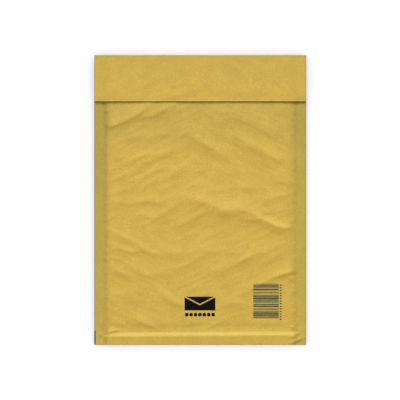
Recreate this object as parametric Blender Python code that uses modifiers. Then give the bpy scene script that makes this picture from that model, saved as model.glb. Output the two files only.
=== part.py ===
"""Bubble mailer: a brown paper envelope lined with bubble film, empty, its flap folded down.

Metres, +Z up. The mailer lies on its back. The origin is under its middle, on the surface
that it rests on. +X runs across the side seams and +Y from the bottom fold to the top fold.
"""

import math

import bmesh
import bpy
import numpy as np

# Outline of the closed mailer
WIDTH = 0.200
HEIGHT = 0.2735
FLAP_LENGTH = 0.0433
MOUTH_SETBACK = 0.0060  # top fold to the open end of the pocket

# Thickness of each layer
PAPER = 0.00016
FILM_PAD = 0.0027  # one layer of film with its bubbles
FILM_WELD = 0.0002  # both layers, crushed flat in a side seam
POCKET_SLACK = 0.0006  # between the two layers of the empty lining
ADHESIVE = 0.0001
RELEASE_PAPER = 0.0001
CLEARANCE = 0.00034  # between pieces that touch

# Side seams and the rise from a seam to the padded body
SEAM_WIDTH = 0.0090
LEFT_SHOULDER = 0.0074
RIGHT_SHOULDER = 0.0096
POCKET_INSET = 0.0025  # seam to the side of the pocket

# Bottom end: the folded lining makes a raised roll across the front, with a furrow behind it
END_ROUNDING = 0.0012  # of the paper's bottom fold, which is pressed to a blunt edge
LINING_ROUNDING = 0.0028
ROLL_RISE = 0.0012
ROLL_FALL = 0.0009  # how much lower the roll lies at the bottom fold
ROLL_CREST = 0.0088  # bottom fold to the top of the roll
ROLL_STEP = 0.0046  # width of the step from the roll down to the furrow
ROLL_SKEW = 0.0007  # how much further up the step lies at the right end
ROLL_LEFT_TIP = 0.0081  # bottom fold to the end of the step in the left seam
ROLL_RIGHT_TIP = 0.0119
ROLL_TIP_SHARE = 0.15  # width of the step at its tips
FURROW_DEPTH = 0.0003
FURROW_WIDTH = 0.0050

# Flap and top fold
CREASE_DROP = 0.0015  # flap's outer face to the crease of the top fold
CREASE_REACH_ABOVE = 0.0008  # how far the fold reaches past the flap
CREASE_REACH_BELOW = 0.0040  # how far the fold reaches past the back panel
FLAP_CURL = 0.0006  # lift of the flap's free edge
FLAP_DROOP = 0.0020  # sag of the flap over the side seams
FLAP_SPREAD = 0.0040  # how far past the shoulders the sag goes on
ADHESIVE_INSET = 0.0080  # flap's free edge to the adhesive
ADHESIVE_WIDTH = 0.0120
RELEASE_WIDTH = 0.0200
ADHESIVE_SHORT = 0.0020  # end of the adhesive to the side edge of the flap
RELEASE_SHORT = 0.0004

# Main wrinkles of the front panel: each is a ridge along a path of (across, up, height).
# The map that the paths are drawn on is 200 units wide and 273.5 high, with its zero in the middle.
MAP_HALF_WIDTH = 100.0
MAP_HALF_HEIGHT = 136.75
WRINKLE_HEIGHT = 0.0011  # of a ridge of height 1
WRINKLE_WIDTH = 0.0060  # half-width of a ridge of width 1
WRINKLE_FADE = 0.0060  # distance over which ridges die out at the flap and at the roll
PATH_STEPS = 4  # smooth points for each stretch of a path
WRINKLES = (
    # width above the ridge, width below it, path
    (1.00, 0.60, ((-89, 70, 0.2), (-76, 74, 1.1), (-60, 82, 0.9), (-50, 89, 0.1))),
    (0.80, 0.60, ((-52, 78, 0.3), (-38, 85, 0.9), (-25, 90, 0.2))),
    (1.40, 0.80, ((9, 69, 0.1), (26, 77, 0.6), (48, 75, 0.8), (67, 65, 0.7), (78, 56, 0.1))),
    (0.80, 0.95, ((19, 66, 0.1), (34, 60, 0.7), (53, 49, 1.1), (73, 38, 0.9), (81, 37, 0.1))),
    (1.00, 0.80, ((-20, 62, 0.1), (-10, 64, 0.7), (-2, 55, 0.8), (12, 49, 0.9), (30, 41, 0.1))),
    (0.70, 0.80, ((-64, 38, 0.3), (-55, 42, 0.8), (-42, 44, 0.5), (-28, 47, 0.2))),
    (0.70, 0.80, ((-62, 20, 0.1), (-48, 24, 0.6), (-36, 30, 0.5), (-24, 32, 0.1))),
    (1.00, 0.75, (
        (-88, -4, 0.1), (-54, -1, 0.7), (-24, 2, 0.5), (-2, 0, 1.0), (20, -8, 1.3), (38, -10, 1.4),
        (57, -18, 1.1), (74, -26, 1.5), (88, -26, 0.3),
    )),
    (0.70, 0.70, ((-61, -15, 0.1), (-46, -17, 0.5), (-31, -10, 0.4), (-13, -1, 0.2))),
    (0.70, 0.70, ((-30, -27, 0.1), (-12, -21, 0.5), (6, -10, 0.5))),
    (0.75, 0.75, ((-84, -29, 0.1), (-68, -37, 0.8), (-44, -50, 0.6))),
    (0.75, 0.60, ((-84, -44, 0.1), (-70, -46, 0.8), (-58, -48, 0.4))),
    (1.00, 0.95, ((-40, -43, 0.2), (-27, -50, 0.8), (2, -47, 0.7), (34, -48, 0.5))),
    (0.80, 0.95, ((56, -48, 0.7), (70, -43, 0.8), (80, -35, 0.1))),
    (1.30, 0.60, ((-4, -73, 0.1), (18, -66, 0.5), (40, -57, 0.4), (52, -52, 0.2))),
    (0.80, 0.60, ((46, -87, 0.7), (60, -77, 0.4), (72, -72, 1.2), (82, -69, 1.1), (89, -67, 0.1))),
    (0.80, 0.80, ((-84, -62, 0.1), (-74, -69, 0.8), (-64, -74, 0.5))),
    (0.80, 0.80, ((-40, -86, 0.1), (-30, -94, 0.8), (-20, -98, 0.7))),
    (0.80, 0.80, ((-64, -110, 0.4), (-54, -116, 0.8), (-40, -122, 0.1))),
)

# Fineness of the modelled surfaces
BODY_COLUMNS = 38
SHOULDER_COLUMNS = 4
BODY_ROWS = 45
COVERED_ROWS = 3
STEP_ROWS = 3
FOLD_ROWS = 8
CREASE_ROWS = 4
FLAP_ROWS = 5
LINING_COLUMNS = 8
FLAT_ANGLE = math.radians(0.2)  # faces that meet flatter than this are merged

# Places worked out from the sizes above
HALF_WIDTH = WIDTH / 2
SEAM_X = HALF_WIDTH - SEAM_WIDTH
TOP_Y = HEIGHT / 2
BOTTOM_Y = -HEIGHT / 2
MOUTH_Y = TOP_Y - MOUTH_SETBACK
FLAP_EDGE_Y = TOP_Y - FLAP_LENGTH
BODY_START_Y = BOTTOM_Y + ROLL_CREST + ROLL_STEP + ROLL_SKEW + FURROW_WIDTH
LAYER_GAP = PAPER + CLEARANCE
BODY_HEIGHT = 2 * (LAYER_GAP + FILM_PAD) + POCKET_SLACK
MIDDLE_Z = BODY_HEIGHT / 2
SEAM_HALF = LAYER_GAP + FILM_WELD / 2
FLAP_LIFT = 3 * CLEARANCE + ADHESIVE + RELEASE_PAPER + PAPER
POCKET_BOTTOM_Y = BOTTOM_Y + LAYER_GAP + FILM_PAD


def ease(share):
    """Rises from 0 to 1 like the side of a pillow: steep at 0, level at 1."""
    return np.sin(np.clip(share, 0.0, 1.0) * math.pi / 2)


def smooth(share):
    """Rises from 0 to 1, level at both ends."""
    share = np.clip(share, 0.0, 1.0)
    return share * share * (3 - 2 * share)


def side_fullness(x):
    """0 on the side seams and 1 on the padded body."""
    return ease((SEAM_X - np.abs(x)) / np.where(x < 0, LEFT_SHOULDER, RIGHT_SHOULDER))


def flap_fullness(x):
    """1 where the flap lies over the padded body, and 0 where it sags over the side seams."""
    shoulder = np.where(x < 0, LEFT_SHOULDER, RIGHT_SHOULDER)
    return smooth((SEAM_X + FLAP_SPREAD - np.abs(x)) / (shoulder + FLAP_SPREAD))


def rounding_reach(x, rounding):
    """How far the round of the bottom fold reaches up the mailer, for a given one at its middle."""
    return SEAM_HALF + (rounding - SEAM_HALF) * side_fullness(x)


def roll_lines(x):
    """Places up the mailer of the crest of the roll and of the furrow behind it."""
    crest = BOTTOM_Y + ROLL_CREST + ROLL_SKEW * x / HALF_WIDTH
    tip = BOTTOM_Y + np.where(x < 0, ROLL_LEFT_TIP, ROLL_RIGHT_TIP)
    opening = ROLL_TIP_SHARE + (1 - ROLL_TIP_SHARE) * side_fullness(x)
    return tip + (crest - tip) * opening, tip + (crest + ROLL_STEP - tip) * opening


def roll(x, y):
    """Height that the folded end of the lining adds to the front, down to the furrow."""
    crest, furrow = roll_lines(x)
    fall = ROLL_FALL * np.clip((crest - y) / ROLL_CREST, 0, 1)
    down = smooth((y - crest) / (furrow - crest))
    recovery = smooth((y - furrow) / FURROW_WIDTH)
    return side_fullness(x) * ((ROLL_RISE - fall) * (1 - down) - FURROW_DEPTH * down * (1 - recovery))


def smooth_path(points):
    """Points along a smooth curve through a wrinkle's own points, as across, up, height rows."""
    ends = np.vstack((points[:1], points, points[-1:])).astype(float)
    shares = np.linspace(0, 1, PATH_STEPS, endpoint=False)[:, None]
    curve = []
    for before, start, end, after in zip(ends, ends[1:], ends[2:], ends[3:]):
        bend = 2 * before - 5 * start + 4 * end - after
        turn = 3 * (start - end) + after - before
        curve.append(start + ((end - before) * shares + bend * shares**2 + turn * shares**3) / 2)
    curve.append(ends[-1:])
    return np.vstack(curve) * (WIDTH / 2 / MAP_HALF_WIDTH, HEIGHT / 2 / MAP_HALF_HEIGHT, WRINKLE_HEIGHT)


def ridge(x, y, width_above, width_below, points):
    """Height of one wrinkle at the places x, y."""
    nearest = np.full(x.shape, np.inf)
    height = np.zeros(x.shape)
    path = smooth_path(points)
    for start, end in zip(path, path[1:]):
        run, rise = end[0] - start[0], end[1] - start[1]
        along = np.clip(((x - start[0]) * run + (y - start[1]) * rise) / (run**2 + rise**2), 0, 1)
        off_x = x - start[0] - along * run
        off_y = y - start[1] - along * rise
        distance = np.hypot(off_x, off_y)
        above = run * off_y - rise * off_x > 0
        width = WRINKLE_WIDTH * np.where(above, width_above, width_below)
        here = start[2] + along * (end[2] - start[2])
        closer = distance < nearest
        height = np.where(closer, here * np.exp(-((distance / width) ** 2)), height)
        nearest = np.minimum(nearest, distance)
    return height


def wrinkles(x, y):
    """Height of all wrinkles, which die out at the seams, at the roll and under the flap."""
    total = sum(ridge(x, y, *wrinkle) for wrinkle in WRINKLES)
    roll_end = BOTTOM_Y + ROLL_CREST + ROLL_STEP
    fade = smooth((y - roll_end) / WRINKLE_FADE) * smooth((FLAP_EDGE_Y + WRINKLE_FADE - y) / WRINKLE_FADE)
    return total * fade * side_fullness(x)


def plain_front_height(x, y):
    """Outer face of the front panel without its wrinkles."""
    return MIDDLE_Z + SEAM_HALF + (MIDDLE_Z - SEAM_HALF) * side_fullness(x) + roll(x, y)


def front_height(x, y):
    """Outer face of the front panel."""
    return plain_front_height(x, y) + wrinkles(x, y)


def back_height(x):
    """Outer face of the back panel, flat where the mailer rests on it."""
    return (MIDDLE_Z - SEAM_HALF) * (1 - side_fullness(x))


def flap_height(x, y):
    """Outer face of the flap, which curls up at its free edge and sags over the seams."""
    from_fold = (TOP_Y - CREASE_REACH_ABOVE - y) / (FLAP_LENGTH - CREASE_REACH_ABOVE)
    curl = FLAP_CURL * np.clip(from_fold, 0, 1) ** 2
    return BODY_HEIGHT + FLAP_LIFT + curl - FLAP_DROOP * (1 - flap_fullness(x))


def columns(body_columns):
    """Places across the mailer, closest together on the shoulders."""
    left = -SEAM_X + LEFT_SHOULDER * np.linspace(0, 1, SHOULDER_COLUMNS + 1)
    right = SEAM_X - RIGHT_SHOULDER * np.linspace(1, 0, SHOULDER_COLUMNS + 1)
    body = np.linspace(left[-1], right[0], body_columns + 1)
    ends = np.array([SEAM_X + FLAP_SPREAD, HALF_WIDTH])
    return np.concatenate((-ends[::-1], left[:-1], body, right[1:], ends))


def front_rows(across, rounding):
    """Places up the front panel, from the bottom fold to the mouth, a row of them at a time."""
    crest, furrow = roll_lines(across)
    start = BOTTOM_Y + rounding_reach(across, rounding)
    low = [start, (start + crest) / 2]
    low += [crest + (furrow - crest) * step / STEP_ROWS for step in range(STEP_ROWS + 1)]
    low.append(furrow + FURROW_WIDTH / 2)
    body = np.linspace(BODY_START_Y, FLAP_EDGE_Y, BODY_ROWS + 1)
    covered = np.linspace(FLAP_EDGE_Y, FLAP_EDGE_Y + WRINKLE_FADE, COVERED_ROWS + 1)[1:]
    high = np.concatenate((body, covered, [MOUTH_Y]))
    return np.vstack((*low, np.repeat(high[:, None], len(across), axis=1)))


def body_surface(across, back_top, rounding, height_of_front):
    """Outer face of the back, the bottom fold and the front, in that order, as x, y and z grids."""
    front_y = front_rows(across, rounding)
    front_x = np.repeat(across[None, :], len(front_y), axis=0)
    front_z = height_of_front(front_x, front_y)

    back_y = np.vstack((np.full(across.shape, back_top), front_y[0]))
    back_x = np.repeat(across[None, :], len(back_y), axis=0)

    fold_x, turn = np.meshgrid(across, np.linspace(-math.pi / 2, math.pi / 2, FOLD_ROWS + 1)[1:-1])
    fold_y = BOTTOM_Y + rounding_reach(fold_x, rounding) * (1 - np.cos(turn))
    low, high = back_height(fold_x), front_z[:1]
    fold_z = (high + low) / 2 + (high - low) / 2 * np.sin(turn)
    return (np.vstack((back_x, fold_x, front_x)), np.vstack((back_y, fold_y, front_y)),
            np.vstack((back_height(back_x), fold_z, front_z)))


def flap_surface(across):
    """Outer face of the flap and the top fold, down to the back, as x, y and z grids."""
    up = np.linspace(FLAP_EDGE_Y, TOP_Y - CREASE_REACH_ABOVE, FLAP_ROWS + 1)
    flap_x, flap_y = np.meshgrid(across, up)
    flap_z = flap_height(flap_x, flap_y)
    quarter = np.linspace(math.pi / 2, 0, CREASE_ROWS + 1)
    above_x, above_turn = np.meshgrid(across, quarter[1:])
    above_y = TOP_Y - CREASE_REACH_ABOVE * (1 - np.cos(above_turn))
    crease_z = flap_z[-1:] - CREASE_DROP
    above_z = crease_z + CREASE_DROP * np.sin(above_turn)
    below_x, below_turn = np.meshgrid(across, quarter[::-1][1:-1])
    below_y = TOP_Y - CREASE_REACH_BELOW * (1 - np.cos(below_turn))
    below_z = crease_z - (crease_z - back_height(below_x)) * np.sin(below_turn)
    return (np.vstack((flap_x, above_x, below_x)), np.vstack((flap_y, above_y, below_y)),
            np.vstack((flap_z, above_z, below_z)))


def moved_inward(x, y, z, distance):
    """The grids moved square to their surface, away from its outer face."""
    places = np.stack((x, y, z), axis=-1)
    across_grid = np.gradient(places, axis=1)
    along_grid = np.gradient(places, axis=0)
    outward = np.cross(across_grid, along_grid)
    outward /= np.linalg.norm(outward, axis=-1, keepdims=True)
    return np.moveaxis(places - distance * outward, -1, 0)


def shaped_grid(bm, x, y, z):
    """Adds a grid to bm with one vertex at each place of the grids x, y and z."""
    rows, across = x.shape
    made = bmesh.ops.create_grid(bm, x_segments=across - 1, y_segments=rows - 1, size=0.5)["verts"]
    for vertex in made:
        column = round((vertex.co.x + 0.5) * (across - 1))
        row = round((vertex.co.y + 0.5) * (rows - 1))
        vertex.co = (x[row, column], y[row, column], z[row, column])
    return made


def add_object(name, bm, material, collection):
    """Makes an object of bm and puts it in the collection."""
    mesh = bpy.data.meshes.new(name)
    bm.to_mesh(mesh)
    bm.free()
    mesh.shade_smooth()
    mesh.materials.append(material)
    made = bpy.data.objects.new(name, mesh)
    collection.objects.link(made)
    return made


def thicken(sheet, thickness):
    """Gives a sheet its thickness, below its modelled outer face, and merges its flat faces."""
    solidify = sheet.modifiers.new("Thickness", "SOLIDIFY")
    solidify.thickness = thickness
    solidify.offset = -1
    solidify.use_even_offset = True
    flatten = sheet.modifiers.new("Flat faces", "DECIMATE")
    flatten.decimate_type = "DISSOLVE"
    flatten.angle_limit = FLAT_ANGLE


def make_material(name, colour, roughness):
    """A plain material."""
    material = bpy.data.materials.new(name)
    material.use_nodes = True
    shader = material.node_tree.nodes["Principled BSDF"]
    shader.inputs["Base Color"].default_value = (*colour, 1)
    shader.inputs["Roughness"].default_value = roughness
    shader.inputs["Metallic"].default_value = 0
    material.diffuse_color = (*colour, 1)
    return material


def make_envelope(collection, material):
    """The paper sheet, folded into flap, back panel and front panel in one piece."""
    across = columns(BODY_COLUMNS)
    flap = flap_surface(across)
    body = body_surface(across, TOP_Y - CREASE_REACH_BELOW, END_ROUNDING, front_height)
    bm = bmesh.new()
    shaped_grid(bm, *(np.vstack(parts) for parts in zip(flap, body)))
    envelope = add_object("paper_envelope", bm, material, collection)
    thicken(envelope, PAPER)


def make_lining(collection, cutters, material):
    """The bag of bubble film inside the paper, with its edges welded flat in the side seams."""
    surface = body_surface(columns(LINING_COLUMNS), MOUTH_Y, LINING_ROUNDING, plain_front_height)
    x, y, z = moved_inward(*surface, LAYER_GAP)
    bm = bmesh.new()
    shaped_grid(bm, *(np.vstack((grid, grid[:1])) for grid in (x, y, z)))
    bmesh.ops.remove_doubles(bm, verts=bm.verts, dist=1e-6)
    bmesh.ops.holes_fill(bm, edges=[edge for edge in bm.edges if edge.is_boundary])
    bmesh.ops.recalc_face_normals(bm, faces=bm.faces)
    bmesh.ops.dissolve_limit(bm, angle_limit=FLAT_ANGLE, verts=bm.verts[:], edges=bm.edges[:])
    lining = add_object("bubble_lining", bm, material, collection)

    pocket_top = TOP_Y
    pocket_half = SEAM_X - POCKET_INSET
    bm = bmesh.new()
    bmesh.ops.create_cube(bm, size=1)
    bmesh.ops.scale(bm, verts=bm.verts, vec=(2 * pocket_half, pocket_top - POCKET_BOTTOM_Y, POCKET_SLACK))
    pocket = add_object("pocket_cutter", bm, material, cutters)
    pocket.location = (0, (pocket_top + POCKET_BOTTOM_Y) / 2, MIDDLE_Z)
    pocket.hide_render = True
    pocket.display_type = "WIRE"
    cut = lining.modifiers.new("Pocket", "BOOLEAN")
    cut.operation = "DIFFERENCE"
    cut.object = pocket


def make_flap_strip(name, low_y, width, half_length, depth, thickness, material, collection):
    """A flat strip under the flap, its upper face at the given depth below the flap's outer face."""
    inside = columns(1)
    across = np.concatenate(([-half_length], inside[1:-1], [half_length]))
    x, y = np.meshgrid(across, np.linspace(low_y, low_y + width, FLAP_ROWS + 1))
    bm = bmesh.new()
    shaped_grid(bm, x, y, flap_height(x, y) - depth)
    strip = add_object(name, bm, material, collection)
    thicken(strip, thickness)


def make_closure(collection, adhesive_material, release_material):
    """The line of self-seal adhesive on the flap's inner face and the release strip over it."""
    adhesive_low = FLAP_EDGE_Y + ADHESIVE_INSET
    adhesive_depth = PAPER + CLEARANCE
    adhesive_half = HALF_WIDTH - ADHESIVE_SHORT
    make_flap_strip("adhesive_strip", adhesive_low, ADHESIVE_WIDTH, adhesive_half, adhesive_depth,
                    ADHESIVE, adhesive_material, collection)
    release_low = adhesive_low - (RELEASE_WIDTH - ADHESIVE_WIDTH) / 2
    release_depth = adhesive_depth + ADHESIVE + CLEARANCE
    release_half = HALF_WIDTH - RELEASE_SHORT
    make_flap_strip("release_strip", release_low, RELEASE_WIDTH, release_half, release_depth,
                    RELEASE_PAPER, release_material, collection)


def main():
    """Clears the scene and builds the mailer."""
    for thing in list(bpy.data.objects):
        bpy.data.objects.remove(thing)
    collection = bpy.data.collections.new("Bubble mailer")
    cutters = bpy.data.collections.new("Cutters")
    for group in (collection, cutters):
        bpy.context.scene.collection.children.link(group)
    brown = make_material("Brown paper", (0.62, 0.41, 0.08), 0.75)
    film = make_material("Bubble film", (0.80, 0.84, 0.86), 0.25)
    adhesive = make_material("Hot-melt adhesive", (0.80, 0.72, 0.48), 0.35)
    release = make_material("Silicone release paper", (0.86, 0.85, 0.80), 0.40)
    make_envelope(collection, brown)
    make_lining(collection, cutters, film)
    make_closure(collection, adhesive, release)


main()
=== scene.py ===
"""Looks of the bubble mailer: crumpled paper over bubble film, its print, and the studio.

Lengths are metres unless a name says otherwise. The paper, the film and the print all follow
one description of the mailer's form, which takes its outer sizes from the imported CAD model.
"""

import logging
import math
from collections.abc import Callable, Iterable
from dataclasses import dataclass
from enum import Enum

import bmesh
import bpy
import numpy as np
from mathutils import Matrix, Vector, noise
from mathutils.bvhtree import BVHTree


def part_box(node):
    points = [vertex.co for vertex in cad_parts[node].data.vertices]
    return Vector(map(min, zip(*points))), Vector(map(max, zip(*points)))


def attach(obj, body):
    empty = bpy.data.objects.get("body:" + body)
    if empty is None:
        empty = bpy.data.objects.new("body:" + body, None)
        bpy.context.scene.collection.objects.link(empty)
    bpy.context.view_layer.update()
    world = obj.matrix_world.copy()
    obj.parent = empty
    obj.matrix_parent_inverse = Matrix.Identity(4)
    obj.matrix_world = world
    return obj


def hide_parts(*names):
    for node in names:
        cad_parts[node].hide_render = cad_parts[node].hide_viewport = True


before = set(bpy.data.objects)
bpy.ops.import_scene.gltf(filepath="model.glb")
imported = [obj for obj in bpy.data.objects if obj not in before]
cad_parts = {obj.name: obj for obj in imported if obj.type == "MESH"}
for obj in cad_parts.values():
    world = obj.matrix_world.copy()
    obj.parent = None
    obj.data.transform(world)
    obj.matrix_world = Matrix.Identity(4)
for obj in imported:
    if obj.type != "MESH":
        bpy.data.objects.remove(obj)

LOG = logging.getLogger("bubble_mailer")
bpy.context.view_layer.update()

MM = 0.001
PHOTO_PIXELS = 400
PHOTO_MAILER_PIXELS = 212.07  # width of the mailer in the photograph
LACUNARITY = 2.0  # how much finer each octave of a fractal is than the one before
CURVE_STEPS = 5  # places of a crease's curve from one point of its path to the next
CREST_ROUNDING = 0.15  # share of a crease's width over which its crest is round
CREST_FALL = 1.2  # how fast a crease's sides fall away, as an exponent

Grid = tuple[np.ndarray, np.ndarray, np.ndarray]
Colour = tuple[float, float, float]
Route = tuple[tuple[float, float, float], ...]
Pair = tuple[float, float]

NOISE_RANGE: Pair = (0.3, 0.7)  # most of a noise texture's values lie in it


def srgb(red: float, green: float, blue: float) -> Colour:
    """Turns an sRGB colour into the linear one that the nodes take.

    Args:
        red: Red from 0 to 255.
        green: Green from 0 to 255.
        blue: Blue from 0 to 255.

    Returns:
        The linear red, green and blue from 0 to 1.
    """
    def linear(value: float) -> float:
        """One channel of the colour."""
        share = value / 255
        return share / 12.92 if share <= 0.04045 else ((share + 0.055) / 1.055) ** 2.4

    return linear(red), linear(green), linear(blue)


def ease(share: np.ndarray) -> np.ndarray:
    """Rises from 0 to 1 like the side of a pillow: steep at 0, level at 1."""
    return np.sin(np.clip(share, 0.0, 1.0) * math.pi / 2)


def smooth(share: np.ndarray) -> np.ndarray:
    """Rises from 0 to 1, level at both ends."""
    share = np.clip(share, 0.0, 1.0)
    return share * share * (3 - 2 * share)


def steps(stops: Iterable[float], cell: float) -> np.ndarray:
    """Evenly spaced places between the stops, about a cell apart."""
    stops = list(stops)
    parts = [np.array(stops[:1])]
    for start, end in zip(stops, stops[1:]):
        count = max(1, round(abs(end - start) / cell))
        parts.append(np.linspace(start, end, count + 1)[1:])
    return np.concatenate(parts)


def fractal(
    u: np.ndarray, v: np.ndarray, layer: float, smoothness: float, octaves: int,
) -> np.ndarray:
    """Fractal noise at the places u, v of one layer.

    Args:
        u: Places across, in units of the noise.
        v: Places up, in units of the noise.
        layer: Which layer of the noise is taken.
        smoothness: How much weaker the finer octaves are.
        octaves: How many octaves there are.

    Returns:
        The noise, from about -0.5 to 0.5.
    """
    flat = [
        noise.fractal(Vector((a, b, layer)), smoothness, LACUNARITY, octaves)
        for a, b in zip(u.ravel(), v.ravel())
    ]
    return np.array(flat).reshape(u.shape)


class Panel(Enum):
    """The two faces of the lining, with the way that each one's bubbles point."""

    FRONT = -1
    BACK = 1


@dataclass(frozen=True)
class Crease:
    """A ridge pressed into the paper along a path.

    The path is in millimetres from the middle of the mailer: across, up and height.
    The widths are those of the ridge's two sides, the first on the left of the path.
    """

    left_mm: float
    right_mm: float
    path: Route

    def curve(self) -> np.ndarray:
        """The path as a smooth curve, in metres, one row of across, up and height a point."""
        points = np.array(self.path, dtype=float) * MM
        ends = np.vstack((points[:1], points, points[-1:]))
        shares = np.linspace(0, 1, CURVE_STEPS, endpoint=False)[:, None]
        pieces = []
        for before, start, end, after in zip(ends, ends[1:], ends[2:], ends[3:]):
            bend = 2 * before - 5 * start + 4 * end - after
            turn = 3 * (start - end) + after - before
            pieces.append(start + ((end - before) * shares + bend * shares**2 + turn * shares**3) / 2)
        pieces.append(points[-1:])
        return np.vstack(pieces)

    def height(self, x: np.ndarray, y: np.ndarray) -> np.ndarray:
        """Height of the ridge at the places x, y.

        Args:
            x: Places across the mailer.
            y: Places up the mailer.

        Returns:
            The height above the smooth paper, in metres.
        """
        nearest = np.full(x.shape, np.inf)
        height = np.zeros(x.shape)
        curve = self.curve()
        for start, end in zip(curve, curve[1:]):
            run, rise = end[0] - start[0], end[1] - start[1]
            length = run**2 + rise**2
            along = np.clip(((x - start[0]) * run + (y - start[1]) * rise) / length, 0, 1)
            off_x = x - start[0] - along * run
            off_y = y - start[1] - along * rise
            distance = np.hypot(off_x, off_y)
            on_left = run * off_y - rise * off_x > 0
            width = np.where(on_left, self.left_mm, self.right_mm) * MM
            crest = start[2] + along * (end[2] - start[2])
            closer = distance < nearest
            fold = np.sqrt((distance / width) ** 2 + CREST_ROUNDING**2) - CREST_ROUNDING
            height = np.where(closer, crest * np.exp(-(fold**CREST_FALL)), height)
            nearest = np.minimum(nearest, distance)
        return height


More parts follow.
